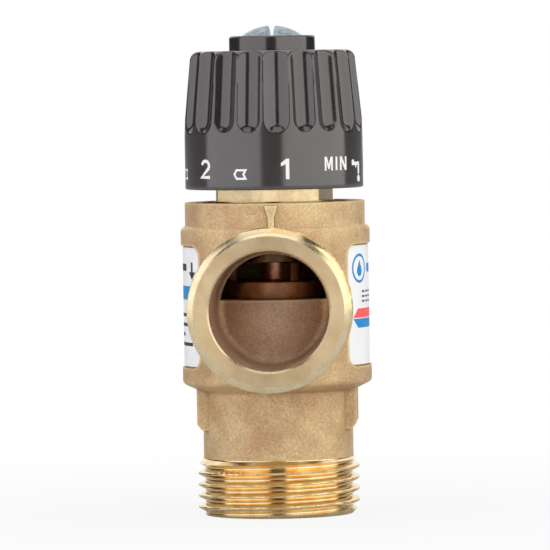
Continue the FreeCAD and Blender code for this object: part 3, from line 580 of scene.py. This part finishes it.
def knob_profile():
    """Outside of the knob without its flutes, as (radius, height) from the rim to the top's middle."""
    skirt_rows, cone_rows, top_rows, edge_steps, small_steps = 20, 14, 6, 14, 6
    low = KNOB_BOTTOM + SKIN
    skirt_top = KNOB_BOTTOM + SKIRT_HEIGHT
    flutes_from = KNOB_BOTTOM + FLUTE_END - FLUTE_MARGIN
    points = [(0.0, low)]
    points += arc_points(SKIRT_R - RIM_EDGE, low + RIM_EDGE, RIM_EDGE, -90, 0, small_steps)
    points += [(SKIRT_R, KNOB_BOTTOM + PLAIN_RIM)]
    for i in range(skirt_rows + 1):
        points.append((SKIRT_R, flutes_from + (skirt_top - flutes_from) * i / skirt_rows))
    edge_z = KNOB_TOP - TOP_EDGE
    for i in range(1, cone_rows):
        z = skirt_top + (edge_z - skirt_top) * i / cone_rows
        points.append((SKIRT_R - (z - skirt_top) * KNOB_TAPER, z))
    centre = SKIRT_R - (edge_z - skirt_top) * KNOB_TAPER - TOP_EDGE
    points += arc_points(centre, edge_z, TOP_EDGE, 0, 90, edge_steps)
    points += [(centre + (BOSS_R - centre) * i / top_rows, KNOB_TOP) for i in range(1, top_rows + 1)]
    points += [(BOSS_R, KNOB_TOP + BOSS_FOOT)]
    boss_top = BOSS_TOP - SKIN
    points += arc_points(BOSS_R - BOSS_EDGE, boss_top - BOSS_EDGE, BOSS_EDGE, 0, 90, small_steps)
    points += [(0.0, boss_top)]
    return points


def flute_floor(turn, z):
    """Radius that a flute leaves at a turn from its middle, at a height."""
    ball_z = KNOB_BOTTOM + FLUTE_END + math.sqrt(FLUTE_R**2 - (FLUTE_R - FLUTE_DEPTH)**2)
    axis = SKIRT_R + FLUTE_R - FLUTE_DEPTH - max(0.0, z - ball_z) * KNOB_TAPER
    reach = math.sqrt(max(0.0, FLUTE_R**2 - max(0.0, ball_z - z)**2))
    across = axis * math.sin(turn)
    return axis * math.cos(turn) - math.sqrt(max(0.0, reach**2 - across**2))


def make_knob(plastic):
    """The CAD knob inside, with an outside whose flutes have the moulding's soft edges."""
    columns = FLUTES * FLUTE_COLUMNS
    profile = knob_profile()
    vertices, faces = [], []
    for radius, z in profile[1:-1]:
        for i in range(columns):
            around = 2 * math.pi * i / columns + FLUTE_FIRST
            aside = (i + FLUTE_COLUMNS / 2) % FLUTE_COLUMNS - FLUTE_COLUMNS / 2
            turn = aside * 2 * math.pi / columns
            r = radius if z > KNOB_TOP else soft_min(radius, flute_floor(turn, z), FLUTE_SOFTNESS)
            vertices.append((r * math.sin(around), -r * math.cos(around), z))
    rows = len(profile) - 2
    for j in range(rows - 1):
        for i in range(columns):
            k = (i + 1) % columns
            a, b = j * columns, (j + 1) * columns
            faces.append((a + i, a + k, b + k, b + i))
    faces.append(tuple(reversed(range(columns))))
    faces.append(tuple((rows - 1) * columns + i for i in range(columns)))
    outside = mesh_object("knob_outside", vertices, faces)
    clean(outside)
    knob = copy_of("knob", "fluted_knob")
    combine(knob, outside, "INTERSECT")
    clean(knob)
    smooth_by_angle(knob, degrees=30)
    knob.data.materials.append(plastic)
    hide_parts("knob")
    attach(knob, "dial")


# ---- printed marks --------------------------------------------------------------------------------
def sweep(centre, size, start, end, count=12):
    """Points along part of an ellipse, angles in degrees."""
    turns = [math.radians(start + (end - start) * i / count) for i in range(count + 1)]
    return [(centre[0] + size[0] * math.cos(t), centre[1] + size[1] * math.sin(t)) for t in turns]


# Each of these signs is a list of pen strokes in a box one unit wide and one unit high.
STROKES = {
    "2": [sweep((0.48, 0.72), (0.40, 0.28), 170, -38) + [(0.06, 0.05), (0.96, 0.05)]],
    "3": [sweep((0.44, 0.75), (0.38, 0.25), 155, -90), sweep((0.44, 0.26), (0.44, 0.26), 90, -155)],
    "4": [[(1.0, 0.27), (0.06, 0.27), (0.70, 0.98), (0.70, 0.0)]],
    "5": [[(0.90, 0.96), (0.24, 0.96), (0.14, 0.50)] + sweep((0.46, 0.30), (0.44, 0.30), 118, -155)],
    "A": [[(0.0, -0.1), (0.5, 1.0), (1.0, -0.1)], [(0.32, 0.32), (0.68, 0.32)]],
    "I": [[(0.5, -0.1), (0.5, 1.1)]],
}
# These have sharp corners, so each is a whole outline in the same box.
OUTLINES = {
    "1": [(0.46, 0), (0.78, 0), (0.78, 1), (0.52, 1), (0.04, 0.8), (0.04, 0.63), (0.46, 0.74)],
    "M": [(0, 0), (0, 1), (0.28, 1), (0.5, 0.42), (0.72, 1), (1, 1), (1, 0),
          (0.79, 0), (0.79, 0.66), (0.58, 0.1), (0.42, 0.1), (0.21, 0.66), (0.21, 0)],
    "N": [(0, 0), (0, 1), (0.26, 1), (0.77, 0.36), (0.77, 1), (1, 1), (1, 0),
          (0.74, 0), (0.23, 0.64), (0.23, 0)],
    "X": [(0, 0), (0.27, 0), (0.5, 0.34), (0.73, 0), (1, 0), (0.64, 0.5),
          (1, 1), (0.73, 1), (0.5, 0.66), (0.27, 1), (0, 1), (0.36, 0.5)],
}


def stroke(points, width, closed=False):
    """A pen stroke in millimetres as quads, mitred where it turns."""
    points = [Vector(p) for p in points]
    count = len(points)
    sides = []
    for i, here in enumerate(points):
        before = points[i - 1] if i or closed else here - (points[1] - here)
        after = points[(i + 1) % count] if i < count - 1 or closed else here + (here - before)
        a, b = (here - before).normalized(), (after - here).normalized()
        normal = Vector((-(a.y + b.y), a.x + b.x)).normalized()
        mitre = width / 2 / max(0.5, normal.dot(Vector((-a.y, a.x))))
        sides.append((tuple(here + normal * mitre), tuple(here - normal * mitre)))
    pairs = zip(sides, sides[1:] + sides[:1] if closed else sides[1:])
    return [[a[0], a[1], b[1], b[0]] for a, b in pairs]


def sign_width(sign, width):
    """An I is narrower than the other signs."""
    return width * (0.4 if sign == "I" else 1)


def word(text, width, height, pen, gap=0.0):
    """Flat outlines of some signs side by side, centred on x = 0."""
    outlines = []
    total = sum(sign_width(c, width) for c in text) + gap * (len(text) - 1)
    left = -total / 2
    for c in text:
        wide = sign_width(c, width)
        if c in OUTLINES:
            outlines.append([(left + x * wide, y * height) for x, y in OUTLINES[c]])
        for line in STROKES.get(c, []):
            points = [(left + x * wide, pen / 2 + y * (height - pen)) for x, y in line]
            outlines += stroke(points, pen)
        left += wide + gap
    return outlines


def wrap_print(name, outlines, radius, angle, foot, ink, body):
    """Lays flat outlines (millimetres) on a cylinder round the valve's axis.

    Their x = 0 lies at angle, counted from -Y towards +X, and their y = 0 at the height foot.
    """
    bm = bmesh.new()
    for outline in outlines:
        bm.faces.new([bm.verts.new((x * MM, y * MM, 0)) for x, y in outline])
    bmesh.ops.remove_doubles(bm, verts=bm.verts, dist=INK_JOIN)
    bmesh.ops.triangulate(bm, faces=bm.faces)
    for _ in range(PRINT_SPLITS):
        wide = [e for e in bm.edges if abs(e.verts[0].co.x - e.verts[1].co.x) > PRINT_EDGE]
        if wide:
            bmesh.ops.subdivide_edges(bm, edges=wide, cuts=1)
            bmesh.ops.triangulate(bm, faces=bm.faces)
    for v in bm.verts:
        turn = math.radians(angle) + v.co.x / radius
        v.co = Vector((radius * math.sin(turn), -radius * math.cos(turn), foot + v.co.y))
    for f in bm.faces:
        f.normal_update()
        middle = f.calc_center_median()
        if f.normal.dot(Vector((middle.x, middle.y, 0))) < 0:
            f.normal_flip()
    mesh = bpy.data.meshes.new(name)
    bm.to_mesh(mesh)
    bm.free()
    ob = bpy.data.objects.new(name, mesh)
    bpy.context.scene.collection.objects.link(ob)
    ob.data.materials.append(ink)
    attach(ob, body)


def bar(left, low, right, high):
    """Outline of a rectangle."""
    return [(left, low), (right, low), (right, high), (left, high)]


def disc(x, y, radius, count):
    """Points round a circle."""
    return sweep((x, y), (radius, radius), 0, 360 - 360 / count, count - 1)


def drop(x, y, wide, high, tip):
    """A water drop: most of an ellipse round (x, y), closed at its tip's height."""
    return sweep((x, y), (wide, high), -215, 35, 16) + [(x, tip)]


def dial_print(ink):
    """Scale round the knob's skirt: digits, words at its ends, pennants between and a tap for closed.

    Sizes and heights above the rim are in millimetres, angles in degrees from -Y towards +X.
    """
    radius = SKIRT_R + INK_LIFT
    step = 57.2
    first_digit, digit_foot, digit_height, digit_pen = 10.2, 2.2, 4.16, 0.68
    one_width, digit_width, letter_width = 2.3, 2.8, 2.1
    min_angle, max_angle = 46.4, -259.8
    word_foot, word_height, word_pen, word_gap = 3.75, 2.8, 0.52, 0.6
    first_pennant, pennant_foot, pennant_pen = -19.8, 2.4, 0.42
    tap_angle, tap_foot = 71.9, 1.2

    def mark(name, outlines, angle, foot):
        wrap_print(name, outlines, radius, angle, KNOB_BOTTOM + foot * MM, ink, "dial")

    for i, digit in enumerate("12345"):
        outlines = word(digit, one_width if digit == "1" else digit_width, digit_height, digit_pen)
        mark(f"dial_digit_{digit}", outlines, first_digit - step * i, digit_foot)
    for text, angle in (("MIN", min_angle), ("MAX", max_angle)):
        outlines = word(text, letter_width, word_height, word_pen, word_gap)
        mark(f"dial_word_{text}", outlines, angle, word_foot)
    pennant = [(-1.22, 0.9), (-0.75, 1.75), (1.22, 1.75), (0.75, 0.9), (1.22, 0.0), (-0.75, 0.0)]
    for i in range(4):
        outlines = stroke(pennant, pennant_pen, closed=True)
        mark(f"dial_pennant_{i + 1}", outlines, first_pennant - step * i, pennant_foot)
    pipe, handle = bar(-3.0, 3.45, 0.8, 4.15), bar(-3.0, 4.15, -2.0, 4.6)
    nut, spout = bar(-1.5, 3.0, -0.9, 3.45), bar(-0.2, 1.7, 0.8, 3.45)
    mark("dial_tap", [pipe, handle, nut, spout, drop(0.3, 0.7, 0.85, 0.7, 1.65)], tap_angle, tap_foot)


def label_print(blue, red, black):
    """Plain signs on both labels, in millimetres from the inlets' axis.

    On the right: a drop in a ring, a bar, dashes and a two-tone arrow. On the left: bars and an arrow.
    """
    radius = LABEL_R + INK_LIFT
    right, left = 1, -1

    def mark(name, outlines, side, ink):
        wrap_print(name, outlines, radius, side * 90, PORT_Z, ink, "valve")

    ring_x, ring_y, ring_r, ring_pen = -8.0, 7.5, 2.75, 0.55
    mark("label_right_ring", stroke(disc(ring_x, ring_y, ring_r, 40), ring_pen, closed=True), right, blue)
    mark("label_right_drop", [drop(ring_x, 6.95, 1.1, 1.1, 9.2)], right, blue)
    mark("label_right_heading", [bar(-3.6, 6.6, 9.6, 8.4)], right, blue)
    dash_wide, dash_high = 1.3, 0.4
    corners = [(x, y) for y in (0.5, 1.5, 2.5) for x in (-6.9, -4.9, -2.9, -0.9)]
    dashes = [bar(x, y, x + dash_wide, y + dash_high) for x, y in corners]
    mark("label_right_dashes", dashes, right, black)
    tip, shoulder = 10.8, 8.9
    warm = [(-tip, -2.65), (tip, -2.65), (shoulder, -0.75), (-shoulder, -0.75)]
    cool = [(-tip, -2.85), (-shoulder, -4.7), (shoulder, -4.7), (tip, -2.85)]
    mark("label_right_warm", [warm], right, red)
    mark("label_right_cool", [cool], right, blue)
    shaft, head = bar(9.1, 6.9, 9.9, 9.2), [(8.0, 7.2), (9.5, 5.6), (11.0, 7.2)]
    mark("label_left_arrow", [shaft, head], left, black)
    mark("label_left_heading", [bar(-9.5, 7.4, 6.4, 8.8)], left, black)
    mark("label_left_warm", [bar(-9.5, 1.5, -1.0, 4.3)], left, red)
    mark("label_left_cool", [bar(0.0, 1.5, 8.5, 4.3)], left, blue)
    rows = [bar(-9.5, -2.0 - 2.0 * i, 9.5 - 2.5 * (i % 3), -1.3 - 2.0 * i) for i in range(4)]
    mark("label_left_rows", rows, left, black)


# ---- springs --------------------------------------------------------------------------------------
def coil(name, wire_r, mean_r, turns, bottom, top, flat_turns=0.75):
    """Smooth round-wire coil with closed ends, whose last turns lie flat."""
    per_turn, sides = 48, 16
    steps = round(turns * per_turn)
    low, high = bottom + wire_r, top - wire_r
    rise = flat_turns * 2 * wire_r

    def height(turn):
        if turn < flat_turns:
            return low + turn * 2 * wire_r
        if turn > turns - flat_turns:
            return high - (turns - turn) * 2 * wire_r
        share = (turn - flat_turns) / (turns - 2 * flat_turns)
        return low + rise + share * (high - low - 2 * rise)

    points, faces = [], []
    for i in range(steps + 1):
        turn = turns * i / steps
        for j in range(sides):
            across = 2 * math.pi * j / sides
            radius = mean_r + wire_r * math.cos(across)
            around = 2 * math.pi * turn
            level = height(turn) + wire_r * math.sin(across)
            points.append((radius * math.cos(around), radius * math.sin(around), level))
    for i in range(steps):
        for j in range(sides):
            k = (j + 1) % sides
            a, b = i * sides, (i + 1) * sides
            faces.append((a + j, b + j, b + k, a + k))
    faces.append(tuple(range(sides)))
    faces.append(tuple(steps * sides + j for j in reversed(range(sides))))
    ob = mesh_object(name, points, faces)
    clean(ob)
    smooth_by_angle(ob, degrees=40)
    return ob


def make_spring(node, turns, steel):
    """Replaces a CAD spring by a smooth coil that stretches between the bodies at its ends."""
    low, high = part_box(node)
    spring = coil(f"{node}_coil", SPRING_WIRE_R, high[0] - SPRING_WIRE_R, turns, low[2], high[2])
    spring.data.materials.append(steel)
    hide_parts(node)
    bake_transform(spring)


def finish_nodes(finishes):
    """Gives each carried-over CAD node its material."""
    for node, material in finishes.items():
        ob = frame["nodes"][node]
        ob.data.materials.clear()
        ob.data.materials.append(material)


# ---- studio ---------------------------------------------------------------------------------------
def make_floor():
    """Pale paper that fades to the backdrop's white away from the valve and keeps its shadow."""
    bm = bmesh.new()
    bmesh.ops.create_grid(bm, x_segments=8, y_segments=8, size=FLOOR_HALF)
    mesh = bpy.data.meshes.new("floor")
    bm.to_mesh(mesh)
    bm.free()
    floor = bpy.data.objects.new("floor", mesh)
    floor.location.z = BODY_LOW[2]
    bpy.context.scene.collection.objects.link(floor)
    n = Nodes("floor_paper", roughness=0.9)
    n.shader.inputs["Base Color"].default_value = (FLOOR_TONE, FLOOR_TONE, FLOOR_TONE, 1)
    path = n.add("ShaderNodeLightPath").outputs["Is Camera Ray"]
    away = n.add("ShaderNodeVectorMath", Vector=n.place)
    away.operation = "LENGTH"
    paleness = n.span(away.outputs["Value"], *FLOOR_PALENESS, *FLOOR_FADE)
    white = n.add("ShaderNodeEmission", Color=(1, 1, 1, 1), Strength=1.0)
    mix = n.add("ShaderNodeMixShader", Fac=n.maths("MULTIPLY", path, paleness))
    n.tree.links.new(n.shader.outputs[0], mix.inputs[1])
    n.tree.links.new(white.outputs[0], mix.inputs[2])
    n.tree.links.new(mix.outputs[0], n.tree.nodes["Material Output"].inputs["Surface"])
    floor.data.materials.append(n.material)


def make_world():
    """White backdrop behind the valve, a dim room in front of it, and an even fill for matt surfaces."""
    world = bpy.data.worlds.new("studio")
    bpy.context.scene.world = world
    world.use_nodes = True
    tree = world.node_tree

    def background(strength):
        node = tree.nodes.new("ShaderNodeBackground")
        node.inputs["Color"].default_value = (1, 1, 1, 1)
        node.inputs["Strength"].default_value = strength
        return node

    def choose(share, first, second):
        node = tree.nodes.new("ShaderNodeMixShader")
        tree.links.new(share, node.inputs["Fac"])
        tree.links.new(first.outputs[0], node.inputs[1])
        tree.links.new(second.outputs[0], node.inputs[2])
        return node

    path = tree.nodes.new("ShaderNodeLightPath")
    axes = tree.nodes.new("ShaderNodeSeparateXYZ")
    tree.links.new(tree.nodes.new("ShaderNodeTexCoord").outputs["Generated"], axes.inputs["Vector"])
    behind = tree.nodes.new("ShaderNodeMapRange")
    behind.interpolation_type = "SMOOTHSTEP"
    behind.inputs["From Min"].default_value = BACKDROP_FROM
    behind.inputs["From Max"].default_value = BACKDROP_FULL
    rising = tree.nodes.new("ShaderNodeMath")
    rising.operation = "MULTIPLY_ADD"
    tree.links.new(axes.outputs["Z"], rising.inputs[0])
    rising.inputs[1].default_value = BACKDROP_RISE
    tree.links.new(axes.outputs["Y"], rising.inputs[2])
    tree.links.new(rising.outputs[0], behind.inputs["Value"])
    mirrored = choose(behind.outputs["Result"], background(ROOM), background(1.0))
    lit = choose(path.outputs["Is Glossy Ray"], background(FILL), mirrored)
    seen = choose(path.outputs["Is Camera Ray"], lit, background(1.0))
    clear = choose(path.outputs["Is Transmission Ray"], seen, background(1.0))
    tree.links.new(clear.outputs[0], tree.nodes["World Output"].inputs["Surface"])


def softbox(name, azimuth, elevation, distance, width, height, radiance, colour):
    """Area light aimed at the valve's middle; azimuth 0 stands in front of the cold inlet, 90 at +X."""
    light = bpy.data.lights.new(name, "AREA")
    light.shape = "RECTANGLE"
    light.size = width
    light.size_y = height
    light.energy = radiance * math.pi * width * height
    light.color = colour
    ob = bpy.data.objects.new(name, light)
    a, e = math.radians(azimuth), math.radians(elevation)
    back = Vector((math.sin(a) * math.cos(e), -math.cos(a) * math.cos(e), math.sin(e)))
    ob.location = Vector((0, 0, LIGHTS_AIM)) + back * distance
    ob.rotation_mode = "QUATERNION"
    ob.rotation_quaternion = (-back).to_track_quat("-Z", "Y")
    bpy.context.scene.collection.objects.link(ob)


def make_lights():
    """A large softbox either side, with a dark gap between them where the camera stands, and one above."""
    for values in SOFTBOXES:
        softbox(*values)


def make_camera():
    """Long lens almost level with the valve, a little to the right of the cold inlet's axis."""
    target = Vector((-CAMERA_ASIDE, 0, AIM_HEIGHT))
    data = bpy.data.cameras.new("camera")
    data.lens = LENS
    data.sensor_width = SENSOR
    data.clip_start = CAMERA_NEAR
    data.clip_end = CAMERA_FAR
    camera = bpy.data.objects.new("camera", data)
    x = CAMERA_DISTANCE * math.sin(CAMERA_TURN) - CAMERA_ASIDE
    y = -CAMERA_DISTANCE * math.cos(CAMERA_TURN)
    camera.location = (x, y, CAMERA_HEIGHT)
    aim = (target - camera.location).to_track_quat("-Z", "Y")
    camera.rotation_mode = "QUATERNION"
    camera.rotation_quaternion = aim @ Quaternion((0, 0, 1), -CAMERA_LEAN)
    bpy.context.scene.collection.objects.link(camera)
    bpy.context.scene.camera = camera


# ---- assembly -------------------------------------------------------------------------------------
def body_finishes():
    """The body's materials by kind of surface."""
    # cast skins as two tones and, last, the colour of the painted shade in their corners
    skin = srgb(206, 168, 128), srgb(228, 200, 152), srgb(104, 74, 48)
    # pointer: paler than the skin, partly wear and partly a painted highlight on its raised head
    worn_and_highlit = srgb(222, 194, 148), srgb(242, 218, 172), srgb(120, 88, 56)
    # inside walls: a little darker than the skin, partly as painted shade of the bore, with a darker
    # painted shade in corners
    inside_shaded = srgb(198, 164, 138), srgb(214, 186, 156), srgb(84, 62, 46)
    cut, bored = (srgb(255, 232, 184), srgb(244, 208, 148)), (srgb(222, 190, 134), srgb(200, 164, 108))
    bevelled = srgb(252, 236, 198), srgb(242, 220, 176)
    return {
        CAST: cast_brass("cast_brass", *skin),
        THREAD: turned_brass("thread_brass", *cut, roughness=0.16),
        FACE: faced_brass(),
        INSIDE: cast_brass("cast_brass_inside", *inside_shaded, grain=0.8),
        # bore: darker in its corners as painted shade
        BORED: turned_brass("bored_brass", *bored, roughness=0.28, crease_shade=srgb(80, 52, 30)),
        BEVEL: turned_brass("bevel_brass", *bevelled, roughness=0.26, marks=0.02),
        POINTER: cast_brass("cast_brass_worn_highlit", *worn_and_highlit),
    }


def node_finishes(steel):
    """Materials of the carried-over CAD nodes."""
    bright = srgb(228, 208, 168), srgb(212, 188, 146)
    # shuttle: brown tones made darker as painted shade of the bore, with painted shade in its corners
    shaded_brown = srgb(196, 146, 112), srgb(158, 112, 82)
    # bonnet, spindle and plunger: darkened below a height as painted shade
    turned = turned_brass("turned_brass", *bright, roughness=0.20, shaded_below=LOW_SHADE_TOP)
    shuttle_shaded = turned_brass("shuttle_brass", *shaded_brown, roughness=0.40, crease_shade=srgb(60, 38, 26))
    copper = plain_metal("copper", srgb(255, 196, 168), srgb(240, 158, 128), roughness=0.38)
    rubber = soft_matter("black_rubber", srgb(46, 46, 46), srgb(34, 34, 34), roughness=0.7)
    film = label_film()
    return {
        "rating_label_left": film,
        "rating_label_right": film,
        "bonnet": turned,
        "bonnet_oring": rubber,
        "shuttle_oring": rubber,
        "shuttle": shuttle_shaded,
        "element_guide": copper,
        "element_cup": copper,
        "element_diaphragm": rubber,
        "wax_charge": soft_matter("wax", srgb(214, 200, 160), srgb(200, 180, 140), roughness=0.6),
        "element_pin": steel,
        "overtravel_plunger": turned,
        "overtravel_washer": steel,
        "spindle_clip": steel,
        "spindle": turned,
        "spindle_oring_lower": rubber,
        "spindle_oring_upper": rubber,
        "knob_screw": plain_metal("zinc_steel", srgb(168, 184, 192), srgb(128, 144, 154), roughness=0.28),
    }


def main():
    steel = plain_metal("spring_steel", srgb(200, 200, 200), srgb(160, 160, 160))
    make_body(body_finishes())
    make_knob(knob_plastic())
    make_spring("return_spring", RETURN_TURNS, steel)
    make_spring("overtravel_spring", OVERTRAVEL_TURNS, steel)
    finish_nodes(node_finishes(steel))
    white, blue = print_ink("white_ink", srgb(238, 238, 238)), print_ink("blue_ink", srgb(0, 138, 208))
    red, black = print_ink("red_ink", srgb(250, 90, 85)), print_ink("black_ink", srgb(50, 48, 50))
    dial_print(white)
    label_print(blue, red, black)
    make_floor()
    make_world()
    make_lights()
    make_camera()
    bpy.context.scene.view_settings.view_transform = "Standard"
    bpy.context.view_layer.update()


main()
